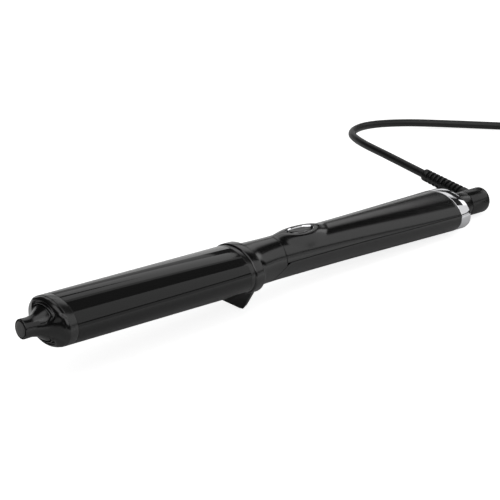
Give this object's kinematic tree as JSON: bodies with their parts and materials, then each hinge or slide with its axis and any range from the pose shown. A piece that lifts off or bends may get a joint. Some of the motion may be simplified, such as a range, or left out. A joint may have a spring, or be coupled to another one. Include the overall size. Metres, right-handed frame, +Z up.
{
  "type": "oval hair curling wand",
  "caption": "Hand-held curling wand with an oval heated barrel, cool tip, fixed safety stand, power button in an oval swell and a side-exit swivel cord wound up with its plug.",
  "frame": {"origin": "centre of the flat foot of the safety stand, on the surface that the wand stands on", "axes": "+X from the cool tip towards the cord end, +Y across the wide way of the oval, to the side where the cord leaves, +Z up"},
  "size_m": [0.477, 0.1928, 0.0482],
  "materials": {
    "ring_plastic": "fine matt moulded black, heat resistant",
    "nose_plastic": "satin-gloss moulded black",
    "barrel_coating": "gloss black ceramic coating on an aluminium tube",
    "handle_plastic": "satin black moulded plastic",
    "stand_plastic": "satin black moulded plastic",
    "swivel_plastic": "satin black moulded plastic",
    "button_plastic": "gloss black",
    "carrier_plastic": "dark heat-resistant plastic",
    "ceramic": null,
    "aluminium": "plain extruded",
    "steel": "plated",
    "chrome": "bright mirror plating",
    "brass": "plain",
    "board_laminate": "glass-fibre laminate",
    "lead_sleeve": "glass-fibre and silicone sleeve",
    "relief_rubber": "soft moulded black",
    "cord_sheath": "smooth black sheath",
    "tie_fabric": "woven hook-and-loop tape",
    "plug_plastic": "fine matt moulded black",
    "pin_metal": "nickel-plated brass"
  },
  "bodies": {
    "wand": {"tip_disc": "ring_plastic", "tip_nose": "nose_plastic", "nose_screw": "steel", "front_ring": "ring_plastic", "barrel": "barrel_coating", "rear_ring": "ring_plastic", "collar": "handle_plastic", "ceramic_heater": "ceramic", "heat_spreader_upper": "aluminium", "heat_spreader_lower": "aluminium", "spreader_springs": "steel", "thermal_sensor": "ceramic", "barrel_carrier": "carrier_plastic", "safety_stand": "stand_plastic", "neck_cowl": "handle_plastic", "handle_upper_shell": "handle_plastic", "handle_lower_shell": "handle_plastic", "button_bezel": "chrome", "circuit_board": "board_laminate", "tact_switch": "button_plastic", "capacitor": "carrier_plastic", "power_module": "carrier_plastic", "heat_sink": "aluminium", "terminal_block": "carrier_plastic", "board_screws": "steel", "heater_leads": "lead_sleeve", "supply_leads": "lead_sleeve", "chrome_band": "chrome", "swivel_socket": "swivel_plastic", "contact_block": "carrier_plastic", "brush_contacts": "brass"},
    "button": {"power_button": "button_plastic"},
    "swivel": {"swivel_cap": "swivel_plastic", "retaining_clip": "steel", "slip_rings": "brass", "strain_relief": "relief_rubber", "cord_run": "cord_sheath", "cord_coil": "cord_sheath", "coil_tie": "tie_fabric", "cord_tail": "cord_sheath", "plug_body": "plug_plastic", "plug_pins": "pin_metal"}
  },
  "joints": [
    {"name": "button_press", "type": "slide", "parent": "wand", "child": "button", "axis": [-0.0841, 0, -0.9965], "range_m": [0, 0.0006], "stiffness_N_per_m": 1500},
    {"name": "cord_swivel", "type": "hinge", "parent": "wand", "child": "swivel", "pos_m": [0.17713, 0, 0.00954], "axis": [0.9965, 0, -0.0841], "continuous": true}
  ]
}
